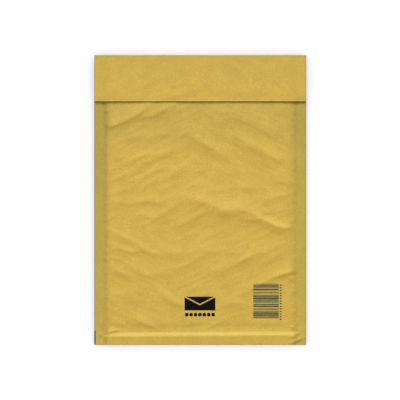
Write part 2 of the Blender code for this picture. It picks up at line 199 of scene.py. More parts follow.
# Folds of the front. Their heights are guesses that give about the right shade from above, and
# some of the soft ones only even out that shade.
CREASES: tuple[Crease, ...] = (
    # Upper left: two sharp folds that run up under the flap, and two soft ones beside them
    Crease(6.5, 2.8, (
        (-92, 69, 1.4), (-85, 69.5, 1.9), (-79, 71, 1.9), (-67, 76.5, 1.8), (-55, 84, 1.5),
        (-47, 90, 0.6),
    )),
    Crease(5, 2.8, ((-50, 78.5, 0.8), (-42, 81, 1.6), (-34, 85.5, 1.5), (-24, 91, 0.6))),
    Crease(5, 9, ((-40, 79, 0.1), (-28, 84, 0.5), (-14, 86, 0.2))),
    Crease(3, 2, ((-61, 75, 0.2), (-55, 77, 0.5), (-49, 79, 0.2))),
    # Upper right: long folds that fall to the right
    Crease(13, 4.5, (
        (8, 72, 0.1), (20, 74, 0.8), (31, 77.5, 0.9), (46, 74, 1.1), (62, 65, 1.1), (77, 56.5, 0.2),
    )),
    Crease(7, 6.5, (
        (22, 64, 0.1), (31, 60.5, 0.9), (46, 53, 1.6), (60, 45, 1.8), (74, 38.5, 1.5), (83, 37, 0.3),
    )),
    Crease(7, 4.5, (
        (-22, 63, 0.2), (-11, 62.5, 1.0), (0, 55, 1.4), (12, 48, 1.5), (24, 41, 1.1), (32, 39, 0.1),
    )),
    Crease(4, 4, ((14, 84, 0.2), (24, 82.5, 0.5), (35, 82, 0.2))),
    # Left: folds that rise to the right
    Crease(3, 3, ((-80, 52, 0.2), (-70, 57, 0.5), (-60, 60, 0.3))),
    Crease(4, 5, ((-84, 40, 0.1), (-75, 41, 0.6), (-65, 44, 0.1))),
    Crease(3.5, 3, ((-57, 51, 0.2), (-46, 58.5, 0.6), (-38, 61.5, 0.3), (-26, 61, 0.2))),
    Crease(3.5, 3.5, (
        (-77, 29, 0.4), (-68, 35, 0.9), (-61, 39, 0.9), (-52, 42.5, 0.9), (-38, 43.5, 0.7),
        (-27, 47, 0.4),
    )),
    Crease(2.5, 3, ((-61, 31.5, 0.2), (-50, 36, 0.6), (-40, 40.5, 0.5), (-32, 43, 0.2))),
    Crease(3, 2.5, (
        (-68, 17.5, 0.2), (-60, 19, 0.5), (-50, 23, 0.8), (-41, 28, 0.7), (-31, 31.5, 0.3),
    )),
    Crease(3, 3, ((-82, 19, 0.3), (-72, 22.5, 0.6), (-65, 26.5, 0.5), (-57, 31, 0.2))),
    Crease(3, 3, ((-38, 17.5, 0.1), (-31, 21, 0.5), (-22, 28, 0.6), (-12, 32, 0.3))),
    Crease(4, 3, ((-46, 19.5, 0.1), (-38, 21.5, 0.4), (-31, 24, 0.1))),
    Crease(3, 2.5, ((-60, 9.5, 0.2), (-50, 14, 0.6), (-41, 19, 0.4))),
    Crease(3, 3, ((-79, 8, 0.2), (-69, 10.5, 0.5), (-57, 16.5, 0.4))),
    Crease(3, 3, ((-13, 12.5, 0.1), (-4, 14.5, 0.5), (4, 14, 0.2))),
    Crease(3, 3, ((-13, 23, 0.1), (-3, 27, 0.5), (6, 29, 0.1))),
    Crease(6, 8, ((-12, 34, 0.1), (-4, 36, 0.4), (6, 35, 0.1))),
    Crease(6, 8, ((22, 25, 0.1), (31, 26, 0.4), (41, 26, 0.1))),
    Crease(6, 6, ((-4, 63, 0.1), (6, 64, 0.4), (14, 63, 0.1))),
    # The long fold across the middle, sharpest where it meets the right seam
    Crease(4, 3.5, (
        (-88, -4, 0.2), (-78, -2, 0.6), (-66, -2.5, 0.6), (-55, -1.5, 0.9), (-47, -1, 0.7),
        (-38, -2, 0.8), (-28, 1, 0.5), (-19, 2.5, 0.2),
    )),
    Crease(7.5, 7, (
        (-23, -1, 0.3), (-12, -1, 0.8), (-3, -1, 1.3), (5, -2.5, 1.7), (12, -5.5, 2.0), (19, -8.5, 2.2),
        (27, -10, 2.2), (36, -9, 2.1), (44, -10.5, 2.1), (50, -13.5, 1.8), (56, -16.5, 0.9), (61, -19, 0.2),
    )),
    Crease(2.8, 4.4, (
        (52, -14, 0.4), (59, -18, 1.3), (67, -22, 2.2), (76, -25.5, 2.2), (84, -26, 1.4), (91, -25, 0.3),
    )),
    Crease(5, 6, ((-19, -1, 0.1), (-10, 1.5, 0.8), (0, 1, 0.7), (8, -2, 0.2))),
    Crease(9, 4, ((14, -12, 0.2), (22, -13, 0.8), (30, -13.5, 0.8), (40, -14, 0.3))),
    Crease(8, 4, ((58, -23, 0.2), (65, -25.5, 0.6), (73, -28, 0.6), (80, -28.5, 0.1))),
    Crease(5, 3, ((-20, -14.5, 0.1), (-12, -10.5, 0.5), (-4, -6.5, 0.5), (4, -2.5, 0.1))),
    Crease(2.5, 3, ((40, -18, 0.1), (47, -18.5, 0.9), (54, -17.5, 0.8), (60, -18.5, 0.1))),
    Crease(1.6, 1.2, ((83, -20.5, 0.1), (88, -20.5, 0.7), (92, -21.5, 0.2))),
    Crease(4, 2.5, ((8, 8, 0.1), (20, 9, 0.4), (31, 12, 0.5), (40, 12, 0.2))),
    Crease(6, 3.5, ((37, 10.5, 0.3), (46, 11, 0.9), (54, 8, 0.5))),
    Crease(5, 2.6, ((67, 17, 0.1), (72, 17, 0.6), (79, 17.5, 0.8), (86, 16, 0.5))),
    Crease(8, 3, ((63, 23, 0.1), (71, 23.5, 0.8), (79, 22, 0.1))),
    Crease(4, 4, ((56, -0.5, 0.1), (65, 1, 0.8), (74, 4, 0.8), (83, 5, 0.2))),
    Crease(5, 3, ((60, -12, 0.2), (68, -11.5, 0.7), (77, -10, 0.3))),
    # Below it: folds that rise to the right, and on the left some that fall
    Crease(3, 4.5, (
        (-63, -14, 0.2), (-53, -14, 0.6), (-45, -17, 0.7), (-36, -13, 0.7), (-26, -6.5, 0.7),
        (-12, -0.5, 0.3),
    )),
    Crease(5, 3.5, ((-30, -27, 0.1), (-18, -22.5, 0.7), (-6, -17, 1.1), (2, -12.5, 1.1), (9, -9, 0.6))),
    Crease(6, 6, (
        (-42, -42, 0.3), (-32, -49, 1.0), (-18, -50.5, 0.8), (-2, -48, 0.8), (16, -49, 0.8),
        (36, -48, 0.4),
    )),
    Crease(3, 4, (
        (-86, -29.5, 0.2), (-75, -33.5, 0.9), (-60, -41, 1.0), (-50, -47, 0.9), (-40, -51.5, 0.4),
    )),
    Crease(4, 3.5, ((-86, -45.5, 0.2), (-76, -45.5, 0.9), (-65, -49, 1.0), (-56, -47.5, 0.4))),
    Crease(4, 4, (
        (-85, -55.5, 0.1), (-74, -56.5, 0.5), (-62, -65, 0.7), (-52, -70, 0.8), (-42, -70, 0.5),
        (-30, -64, 0.4),
    )),
    Crease(4, 3, ((-86, -62, 0.2), (-77, -67, 1.0), (-69, -71, 1.0), (-62, -74, 0.4))),
    Crease(3, 3, ((-30, -68.5, 0.2), (-18, -63.5, 0.7), (-6, -57, 0.7), (5, -50.5, 0.3))),
    Crease(3.5, 4, (
        (-2, -73, 0.1), (12, -67.5, 0.5), (24, -64, 0.6), (33, -61.5, 0.6), (42, -55.5, 0.8),
        (52, -51, 0.4),
    )),
    Crease(3, 3, ((31, -59.5, 0.2), (37, -57.5, 0.7), (44, -54, 0.6), (52, -50, 0.1))),
    Crease(6, 3, ((13, -58, 0.1), (21, -57.5, 0.5), (29, -55, 0.1))),
    Crease(6, 3, ((13, -64, 0.1), (21, -62.5, 0.4), (29, -61, 0.1))),
    Crease(6, 8, ((34, -46, 0.1), (44, -46, 0.4), (54, -43, 0.1))),
    Crease(5, 5, ((55, -49, 0.7), (65, -46, 0.9), (73, -42, 0.9), (81, -36, 0.1))),
    Crease(3, 3, ((58, -59, 0.3), (67, -54, 0.6), (76, -50, 0.2))),
    # Bottom right: a sharp fold from the stripe code into the seam
    Crease(3.2, 2.2, (
        (42, -89, 0.5), (52, -82.5, 1.1), (64, -75.5, 0.9), (74, -71, 1.8), (83, -68.5, 2.0),
        (90, -67, 0.4),
    )),
    Crease(2, 1.6, ((81, -72.5, 0.1), (87, -75, 1.3), (92, -77.5, 0.2))),
    Crease(1.5, 1.2, ((75, -111, 0.1), (71, -116, 0.3), (66, -122, 0.1))),
    Crease(6, 5, ((20, -99, 0.5), (33, -96.5, 0.9), (46, -99.5, 0.1))),
    # Bottom left
    Crease(4, 4, ((-82, -89, 0.5), (-70, -89, 0.5), (-59, -93, 0.1))),
    Crease(4, 3, ((-41, -85, 0.2), (-33, -91, 1.1), (-25, -96, 1.0), (-19, -99, 0.8))),
    Crease(4, 3.5, ((-67, -109, 0.3), (-57, -113.5, 1.1), (-47, -118, 0.9), (-37, -123, 0.1))),
    Crease(6, 6, ((-44, -115, 0.1), (-35, -116, 0.4), (-26, -116, 0.1))),
)

# Creases of the two lower corners, where the bottom fold and the seams pull at each other.
CORNER_CREASES: tuple[Crease, ...] = (
    Crease(2.0, 1.2, ((84, -120, 0.1), (88, -118.6, 0.6), (92.5, -116, 0.3))),
    Crease(2.0, 1.4, ((83, -119.8, 0.1), (88.5, -120.7, 1.0), (93.0, -122.6, 0.5))),
    Crease(3.0, 1.2, ((84, -130.3, 0.2), (88, -128.6, 1.5), (92, -126.6, 1.3), (94.5, -125.4, 0.2))),
    Crease(3.6, 1.3, ((83, -136.5, 0.3), (88, -134.2, 1.5), (92.5, -132.0, 1.9), (97, -130.4, 0.6))),
    Crease(2.4, 1.1, ((-90.5, -127.6, 0.2), (-86, -125.2, 1.6), (-81, -123.4, 1.2), (-75, -122.6, 0.1))),
    Crease(2.0, 1.6, ((-100, -128.6, 0.3), (-95, -128.0, 0.5), (-91.5, -127.6, 0.3))),
)

# Where the folds under the flap show through it.
FLAP_CREASES: tuple[Crease, ...] = (
    Crease(4.0, 3.0, ((-33, 93, 0.2), (-26, 96.5, 0.6), (-19, 99.5, 0.6), (-12, 104, 0.2))),
    Crease(9.0, 8.0, ((-14, 112, 0.1), (6, 114, 0.4), (26, 111, 0.1))),
    Crease(8.0, 7.0, ((36, 102, 0.1), (54, 106, 0.4), (74, 103, 0.1))),
    Crease(9.0, 9.0, ((-84, 100, 0.2), (-66, 104, 0.5), (-44, 103, 0.1))),
)

# Where the side seams pinch the padding most, in millimetres up the mailer.
LEFT_PINCHES_MM = (84, 44, 5, -19, -29, -49, -56, -82)
RIGHT_PINCHES_MM = (83, 62, 38, 7, -67, -87, -105)


@dataclass(frozen=True)
class Ripples:
    """Fine ripples of paper that was rubbed and bent: long one way and short across.

    They rise to the right over most of the front. They fall to the right beyond the middle on
    the flap's side, and again near the lower left corner.
    """

    height: float = 0.23 * MM
    along: float = 15.0 * MM
    across: float = 3.6 * MM
    rise_deg: float = 28.0
    fall_deg: float = -31.0
    smoothness: float = 0.8
    octaves: int = 2
    rising_layer: float = 3.7
    falling_layer: float = 8.1
    upper_start: Pair = (-12 * MM, -6 * MM)
    upper_reach: Pair = (26 * MM, 26 * MM)
    lower_start: Pair = (-14 * MM, -16 * MM)
    lower_reach: Pair = (22 * MM, 16 * MM)

    def falling(self, x: np.ndarray, y: np.ndarray) -> np.ndarray:
        """How much of the ripples at a place falls to the right, from 0 to 1."""
        (left, low), (wide, tall) = self.upper_start, self.upper_reach
        upper_right = smooth((x - left) / wide) * smooth((y - low) / tall)
        (right, high), (wide, tall) = self.lower_start, self.lower_reach
        lower_left = smooth((right - x) / wide) * smooth((high - y) / tall)
        return np.maximum(upper_right, lower_left)

    def field(self, x: np.ndarray, y: np.ndarray, angle_deg: float, layer: float) -> np.ndarray:
        """Ripples of one direction, as a height from about -0.5 to 0.5."""
        turn = math.radians(angle_deg)
        u = (x * math.cos(turn) + y * math.sin(turn)) / self.along
        v = (y * math.cos(turn) - x * math.sin(turn)) / self.across
        return fractal(u, v, layer, self.smoothness, self.octaves)

    def heights(self, x: np.ndarray, y: np.ndarray) -> np.ndarray:
        """Height of the ripples at the places x, y."""
        share = self.falling(x, y)
        rising = self.field(x, y, self.rise_deg, self.rising_layer)
        falling = self.field(x, y, self.fall_deg, self.falling_layer)
        return self.height * (rising * (1 - share) + falling * share)


@dataclass(frozen=True)
class MailerForm:
    """Form of the closed mailer, close to the CAD model's: seams, shoulders, roll, body and flap."""

    half_width: float
    half_height: float
    total_height: float
    paper: float = 0.16 * MM
    clearance: float = 0.34 * MM
    film_weld: float = 0.2 * MM
    pocket_slack: float = 0.6 * MM
    seam_width: float = 9.0 * MM
    left_shoulder: float = 7.4 * MM
    right_shoulder: float = 9.6 * MM
    end_rounding: float = 0.4 * MM
    roll_rise: float = 1.35 * MM
    roll_fall: float = 0.9 * MM
    roll_crest: float = 8.8 * MM
    roll_step: float = 3.5 * MM
    roll_settling: float = 4.0 * MM
    roll_skew: float = 0.7 * MM
    roll_left_tip: float = 8.1 * MM
    roll_right_tip: float = 11.9 * MM
    roll_tip_share: float = 0.15
    roll_steep_share: float = 0.85
    roll_end_slope: float = 4.5 * MM
    roll_end_share: float = 0.3
    furrow_depth: float = 0.35 * MM
    furrow_width: float = 5.0 * MM
    mouth_setback: float = 6.0 * MM
    crease_drop: float = 1.5 * MM
    crease_reach_above: float = 0.8 * MM
    crease_reach_below: float = 4.0 * MM
    flap_length: float = 43.6 * MM
    flap_curl: float = 0.6 * MM
    flap_droop: float = 2.0 * MM
    flap_spread: float = 4.0 * MM
    flap_lift: float = 1.38 * MM
    lip_rise: float = 0.20 * MM
    lip_width: float = 1.5 * MM
    corner_sag: float = 0.7 * MM
    corner_reach: float = 3.4 * MM
    wrinkle_fade: float = 6.0 * MM

    @classmethod
    def from_frame(cls) -> "MailerForm":
        """The form with its outer sizes read from the CAD paper."""
        low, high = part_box("paper_envelope")
        return cls(half_width=high[0], half_height=high[1], total_height=high[2] - low[2])

    @property
    def seam_x(self) -> float:
        """Where the side seams end and the shoulders start."""
        return self.half_width - self.seam_width

    @property
    def top(self) -> float:
        """Top fold."""
        return self.half_height

    @property
    def bottom(self) -> float:
        """Bottom fold."""
        return -self.half_height

    @property
    def mouth(self) -> float:
        """Open end of the pocket."""
        return self.top - self.mouth_setback

    @property
    def flap_edge(self) -> float:
        """Free edge of the flap."""
        return self.top - self.flap_length

    @property
    def roll_end(self) -> float:
        """Where the steep side of the roll ends, in the middle of the mailer."""
        return self.bottom + self.roll_crest + self.roll_step

    @property
    def body_start(self) -> float:
        """Where the body above the furrow starts."""
        return self.roll_end + self.roll_settling + self.roll_skew + self.furrow_width

    @property
    def layer_gap(self) -> float:
        """Outer face of the paper to the outer face of the film."""
        return self.paper + self.clearance

    @property
    def body_height(self) -> float:
        """Height of the padded body."""
        return self.total_height - self.flap_curl - self.flap_lift

    @property
    def middle(self) -> float:
        """Height of the seams' middle."""
        return self.body_height / 2

    @property
    def seam_half(self) -> float:
        """Half the thickness of a side seam."""
        return self.layer_gap + self.film_weld / 2

    def shoulder(self, x: np.ndarray) -> np.ndarray:
        """Width of the shoulder on the side that a place is on."""
        return np.where(x < 0, self.left_shoulder, self.right_shoulder)

    def side_fullness(self, x: np.ndarray) -> np.ndarray:
        """0 on the side seams and 1 on the padded body."""
        return ease((self.seam_x - np.abs(x)) / self.shoulder(x))

    def flap_fullness(self, x: np.ndarray) -> np.ndarray:
        """1 where the flap lies over the padded body, and 0 where it sags over the side seams."""
        shoulder = self.shoulder(x)
        return smooth((self.seam_x + self.flap_spread - np.abs(x)) / (shoulder + self.flap_spread))

    def rounding_reach(self, x: np.ndarray) -> np.ndarray:
        """How far the round of the bottom fold reaches up the mailer."""
        return self.seam_half + (self.end_rounding - self.seam_half) * self.side_fullness(x)

    def roll_lines(self, x: np.ndarray) -> tuple[np.ndarray, np.ndarray]:
        """Places up the mailer of the crest of the roll and of the furrow behind it."""
        crest = self.bottom + self.roll_crest + self.roll_skew * x / self.half_width
        tip = self.bottom + np.where(x < 0, self.roll_left_tip, self.roll_right_tip)
        opening = self.roll_tip_share + (1 - self.roll_tip_share) * self.side_fullness(x)
        return tip + (crest - tip) * opening, tip + (crest + self.roll_step - tip) * opening

    def roll(self, x: np.ndarray, y: np.ndarray) -> np.ndarray:
        """Height that the folded end of the lining adds to the front, down to the furrow."""
        crest, furrow = self.roll_lines(x)
        fall = self.roll_fall * np.clip((crest - y) / self.roll_crest, 0, 1)
        steep = np.clip((y - crest) / (furrow - crest), 0, 1)
        settling = smooth((y - furrow) / self.roll_settling)
        down = self.roll_steep_share * steep + (1 - self.roll_steep_share) * settling
        recovery = smooth((y - furrow - self.roll_settling) / self.furrow_width)
        raised = (self.roll_rise - fall) * (1 - down)
        end = self.seam_x + self.roll_end_share * self.roll_end_slope
        fullness = smooth((end - np.abs(x)) / self.roll_end_slope)
        return fullness * (raised - self.furrow_depth * down * (1 - recovery))

    def front_height(self, x: np.ndarray, y: np.ndarray) -> np.ndarray:
        """Outer face of the front panel without its wrinkles."""
        padding = (self.middle - self.seam_half) * self.side_fullness(x)
        return self.middle + self.seam_half + padding + self.roll(x, y)

    def back_height(self, x: np.ndarray) -> np.ndarray:
        """Outer face of the back panel, flat where the mailer rests on it."""
        return (self.middle - self.seam_half) * (1 - self.side_fullness(x))

    def flap_height(self, x: np.ndarray, y: np.ndarray) -> np.ndarray:
        """Outer face of the flap, which curls up at its free edge and sags over the seams.

        Its two corners sag a little more, past the end of the strips that lie under it.
        """
        reach = self.flap_length - self.crease_reach_above
        from_fold = (self.top - self.crease_reach_above - y) / reach
        curl = (self.flap_curl - self.lip_rise) * np.clip(from_fold, 0, 1) ** 2
        lip = self.lip_rise * np.clip(1 - (y - self.flap_edge) / self.lip_width, 0, 1) ** 2
        sag = self.corner_sag * np.clip(1 - (y - self.flap_edge) / self.corner_reach, 0, 1)
        droop = (self.flap_droop + sag) * (1 - self.flap_fullness(x))
        return self.body_height + self.flap_lift + curl + lip - droop

    def wrinkle_share(self, x: np.ndarray, y: np.ndarray) -> np.ndarray:
        """How freely the paper wrinkles: 0 on the seams, on the roll and under the flap."""
        return self.open_share(y) * self.side_fullness(x)

    def open_share(self, y: np.ndarray) -> np.ndarray:
        """1 between the roll and the flap, fading to 0 on the one and under the other."""
        low = smooth((y - self.roll_end) / self.wrinkle_fade)
        return low * smooth((self.flap_edge + self.wrinkle_fade - y) / self.wrinkle_fade)


def shaped_grid(bm: bmesh.types.BMesh, grid: Grid) -> list[bmesh.types.BMVert]:
    """Adds a grid to bm with one vertex at each place of the given grids.

    Args:
        bm: The mesh to add to.
        grid: Places across, up and high, one row of them after the other.

    Returns:
        The new vertices.
    """
    x, y, z = grid
    rows, across = x.shape
    made = bmesh.ops.create_grid(bm, x_segments=across - 1, y_segments=rows - 1, size=0.5)["verts"]
    for vertex in made:
        column = round((vertex.co.x + 0.5) * (across - 1))
        row = round((vertex.co.y + 0.5) * (rows - 1))
        vertex.co = (x[row, column], y[row, column], z[row, column])
    return made


def add_object(name: str, data: bpy.types.ID) -> bpy.types.Object:
    """Puts a new object into the scene, at the origin."""
    made = bpy.data.objects.new(name, data)
    bpy.context.scene.collection.objects.link(made)
    return made


def new_mesh(name: str, bm: bmesh.types.BMesh) -> bpy.types.Mesh:
    """Turns a bmesh into a mesh and frees it."""
    mesh = bpy.data.meshes.new(name)
    bm.to_mesh(mesh)
    bm.free()
    return mesh


def make_piece(name: str, bm: bmesh.types.BMesh, material: bpy.types.Material) -> bpy.types.Object:
    """Turns a bmesh into a piece that rides with the mailer.

    Args:
        name: Name of the piece.
        bm: Its mesh, which is freed.
        material: Its finish.

    Returns:
        The new object, at the origin.
    """
    mesh = new_mesh(name, bm)
    mesh.shade_smooth()
    mesh.materials.append(material)
    piece = add_object(name, mesh)
    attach(piece, "root")
    return piece


def thicken(piece: bpy.types.Object, depth: float, even: bool = False) -> None:
    """Gives a piece its thickness, inwards from the face that was made.

    Args:
        piece: The piece.
        depth: Its thickness.
        even: Whether the thickness stays the same round sharp bends.
    """
    thickness = piece.modifiers.new("Thickness", "SOLIDIFY")
    thickness.thickness = depth
    thickness.offset = -1
    thickness.use_even_offset = even


def report(piece: bpy.types.Object) -> None:
    """Logs a finished piece with its number of faces before its modifiers."""
    LOG.info("%s: %d faces", piece.name, len(piece.data.polygons))


class NodeKit:
    """Short ways to add and join the nodes of one tree."""

    def __init__(self, tree: bpy.types.NodeTree) -> None:
        """Keeps the tree that the nodes go into."""
        self.tree = tree

    def node(
        self, kind: str, inputs: dict[str | int, object] | None = None, **settings: object,
    ) -> bpy.types.Node:
        """Adds a node.

        Args:
            kind: The node's type.
            inputs: Its sockets' values, or the sockets that feed them.
            **settings: Its own settings.

        Returns:
            The new node.
        """
        made = self.tree.nodes.new(kind)
        for key, value in settings.items():
            setattr(made, key, value)
        self.fill(made, inputs or {})
        return made

    def fill(self, node: bpy.types.Node, inputs: dict[str | int, object]) -> None:
        """Sets a node's sockets.

        Args:
            node: The node.
            inputs: Its sockets' values, or the sockets that feed them.
        """
        for key, value in inputs.items():
            if isinstance(value, bpy.types.NodeSocket):
                self.tree.links.new(value, node.inputs[key])
            else:
                node.inputs[key].default_value = value

    def place(self) -> bpy.types.NodeSocket:
        """The place on a piece, in its own frame."""
        return self.node("ShaderNodeTexCoord").outputs["Object"]

    def maths(self, operation: str, first: object, second: object) -> bpy.types.NodeSocket:
        """The result of one sum of two numbers or sockets."""
        return self.node("ShaderNodeMath", {0: first, 1: second}, operation=operation).outputs[0]

    def mix(
        self, share: object, first: object, second: object, blend: str = "MIX",
    ) -> bpy.types.NodeSocket:
        """Two colours mixed."""
        made = self.node("ShaderNodeMix", data_type="RGBA", blend_type=blend)
        inputs = {0: share, 6: first, 7: second}
        self.fill(made, {
            key: (*value, 1.0) if isinstance(value, tuple) else value for key, value in inputs.items()
        })
        return made.outputs[2]

    def spread(
        self, value: object, low: float, high: float, to_low: float, to_high: float,
    ) -> bpy.types.NodeSocket:
        """A value moved from one range to another and kept inside it."""
        made = self.node("ShaderNodeMapRange", {0: value, 1: low, 2: high, 3: to_low, 4: to_high})
        return made.outputs[0]


def new_material(name: str) -> tuple[bpy.types.Material, NodeKit, bpy.types.Node]:
    material = bpy.data.materials.new(name)
    material.use_nodes = True
    return material, NodeKit(material.node_tree), material.node_tree.nodes["Principled BSDF"]


def fibre_group() -> bpy.types.NodeTree:
    """The shared paper grain: fibres that lie across the mailer, clouds in the pulp, and fine crinkles.

    Returns:
        The node group, with outputs Fibres, Clouds and Height.
    """
    group = bpy.data.node_groups.new("Paper fibres", "ShaderNodeTree")
    face = group.interface
    face.new_socket("Place", in_out="INPUT", socket_type="NodeSocketVector")
    for name, value in (("Fibre size", 0.5 * MM), ("Cloud size", 9 * MM), ("Crinkle size", 1.9 * MM)):
        socket = face.new_socket(name, in_out="INPUT", socket_type="NodeSocketFloat")
        socket.default_value = value
    for name in ("Fibres", "Clouds", "Height"):
        face.new_socket(name, in_out="OUTPUT", socket_type="NodeSocketFloat")
    kit = NodeKit(group)
    inside = kit.node("NodeGroupInput")
    size = kit.node("ShaderNodeCombineXYZ", {
        0: kit.maths("MULTIPLY", inside.outputs["Fibre size"], 2.0),
        1: inside.outputs["Fibre size"],
        2: inside.outputs["Fibre size"],
    })
    fine = kit.node(
        "ShaderNodeVectorMath", {0: inside.outputs["Place"], 1: size.outputs[0]}, operation="DIVIDE",
    )
    fibres = kit.node("ShaderNodeTexNoise", {
        "Vector": fine.outputs[0], "Scale": 1.0, "Detail": 4.0, "Roughness": 0.6,
    })
    cloud_scale = kit.maths("DIVIDE", 1.0, inside.outputs["Cloud size"])
    clouds = kit.node("ShaderNodeTexNoise", {
        "Vector": inside.outputs["Place"], "Scale": cloud_scale, "Detail": 5.0, "Roughness": 0.62,
    })
    crinkle_scale = kit.maths("DIVIDE", 1.0, inside.outputs["Crinkle size"])
    crinkle = kit.node("ShaderNodeTexNoise", {
        "Vector": inside.outputs["Place"], "Scale": crinkle_scale, "Detail": 4.0, "Roughness": 0.6,
    })
    height = kit.maths("ADD", crinkle.outputs[0], kit.maths("MULTIPLY", fibres.outputs[0], 0.15))
    kit.node("NodeGroupOutput", {
        "Fibres": fibres.outputs[0], "Clouds": clouds.outputs[0], "Height": height,
    })
    return group


@dataclass(frozen=True)
class PaperFinish:
    """Finish of a paper: its colour, its fibres, the darker tone of its pressed seams, and painted shade
    and a painted highlight.
    """

    name: str
    colour: Colour
    pressed_and_shade_colour: Colour
    painted_shade_colour: Colour
    roll_highlight_colour: Colour
    roughness: float
    fibre_contrast: float = 0.17
    cloud_contrast: float = 0.05
    crinkle: float = 0.19 * MM
    fibre_size: float = 0.6 * MM
    cloud_size: float = 11.0 * MM
    roughness_spread: float = 0.06
    gloss: float = 0.35

    def build(self, fibres: bpy.types.NodeTree) -> bpy.types.Material:
        """Makes the material.

        Args:
            fibres: The shared paper grain.

        Returns:
            The material, which reads three attributes: the seams' pressed tone with painted shade, painted
            shade, and a painted highlight on the roll.
        """
        material, kit, shader = new_material(self.name)
        grain = kit.node("ShaderNodeGroup", {
            "Place": kit.place(), "Fibre size": self.fibre_size, "Cloud size": self.cloud_size,
        }, node_tree=fibres)

        base = self.colour
        # The attributes tint the paper: a painted highlight on the roll, the seams' pressed tone with
        # painted shade, and painted shade.
        for tint_attribute, colour in (
            ("roll_highlight", self.roll_highlight_colour),
            ("pressed_and_shade", self.pressed_and_shade_colour),
            ("painted_shade", self.painted_shade_colour),
        ):
            share = kit.node("ShaderNodeAttribute", attribute_name=tint_attribute).outputs["Fac"]
            base = kit.mix(share, base, colour)
        shades = [
            kit.spread(grain.outputs[name], *NOISE_RANGE, 1 - contrast, 1 + contrast)
            for name, contrast in (("Fibres", self.fibre_contrast), ("Clouds", self.cloud_contrast))
        ]
        shade = kit.maths("MULTIPLY", *shades)
        grey = kit.node("ShaderNodeCombineColor", {0: shade, 1: shade, 2: shade}).outputs[0]
        toned = kit.mix(1.0, base, grey, "MULTIPLY")
        smoothest, roughest = self.roughness - self.roughness_spread, self.roughness + self.roughness_spread
        rough = kit.spread(grain.outputs["Clouds"], *NOISE_RANGE, smoothest, roughest)
        bump = kit.node("ShaderNodeBump", {"Distance": self.crinkle, "Height": grain.outputs["Height"]})
        kit.fill(shader, {
            "Base Color": toned, "Roughness": rough, "Normal": bump.outputs[0], "Metallic": 0.0,
            "Specular IOR Level": self.gloss,
        })
        return material


@dataclass(frozen=True)
class InkFinish:
    """Finish of a printed mark: matt ink that lets some of the paper's fibres through."""

    name: str
    colour: Colour
    show_through: float
    roughness: float = 0.6
    gloss: float = 0.1
    paper_colour: Colour = srgb(190, 160, 72)
    fibre_size: float = 0.3 * MM
    thin_range: Pair = (0.5, 0.8)
    bump_strength: float = 0.2
    bump_depth: float = 0.03 * MM

    def build(self, fibres: bpy.types.NodeTree) -> bpy.types.Material:
        """Makes the material.

        Args:
            fibres: The shared paper grain.

        Returns:
            The material.
        """
        material, kit, shader = new_material(self.name)
        grain = kit.node(
            "ShaderNodeGroup", {"Place": kit.place(), "Fibre size": self.fibre_size}, node_tree=fibres,
        )
        thin = kit.spread(grain.outputs["Fibres"], *self.thin_range, 0.0, self.show_through)
        bump = kit.node("ShaderNodeBump", {
            "Strength": self.bump_strength, "Distance": self.bump_depth, "Height": grain.outputs["Height"],
        })
        kit.fill(shader, {
            "Base Color": kit.mix(thin, self.colour, self.paper_colour), "Roughness": self.roughness,
            "Specular IOR Level": self.gloss, "Normal": bump.outputs[0],
        })
        return material


@dataclass(frozen=True)
class FilmFinish:
    """Finish of the polythene film and of the adhesive: clear to milky, with a soft gloss."""

    name: str
    colour: Colour
    roughness: float
    alpha: float
    haze_size: float = 6.0 * MM
    haze_detail: float = 3.0
    roughness_shares: Pair = (0.7, 1.3)
    darkest: float = 0.9
    bump_strength: float = 0.3
    bump_depth: float = 0.2 * MM
    refraction: float = 1.5

    def build(self) -> bpy.types.Material:
        """Makes the material, with haze that varies over the film."""
        material, kit, shader = new_material(self.name)
        haze = kit.node("ShaderNodeTexNoise", {
            "Vector": kit.place(), "Scale": 1 / self.haze_size, "Detail": self.haze_detail,
        }).outputs[0]
        rough = kit.spread(haze, *NOISE_RANGE, *(self.roughness * share for share in self.roughness_shares))
        darker = tuple(self.darkest * channel for channel in self.colour)
        bump = kit.node("ShaderNodeBump", {
            "Strength": self.bump_strength, "Distance": self.bump_depth, "Height": haze,
        })
        kit.fill(shader, {
            "Roughness": rough, "Base Color": kit.mix(haze, self.colour, darker),
            "Normal": bump.outputs[0], "Alpha": self.alpha, "IOR": self.refraction,
        })
        return material


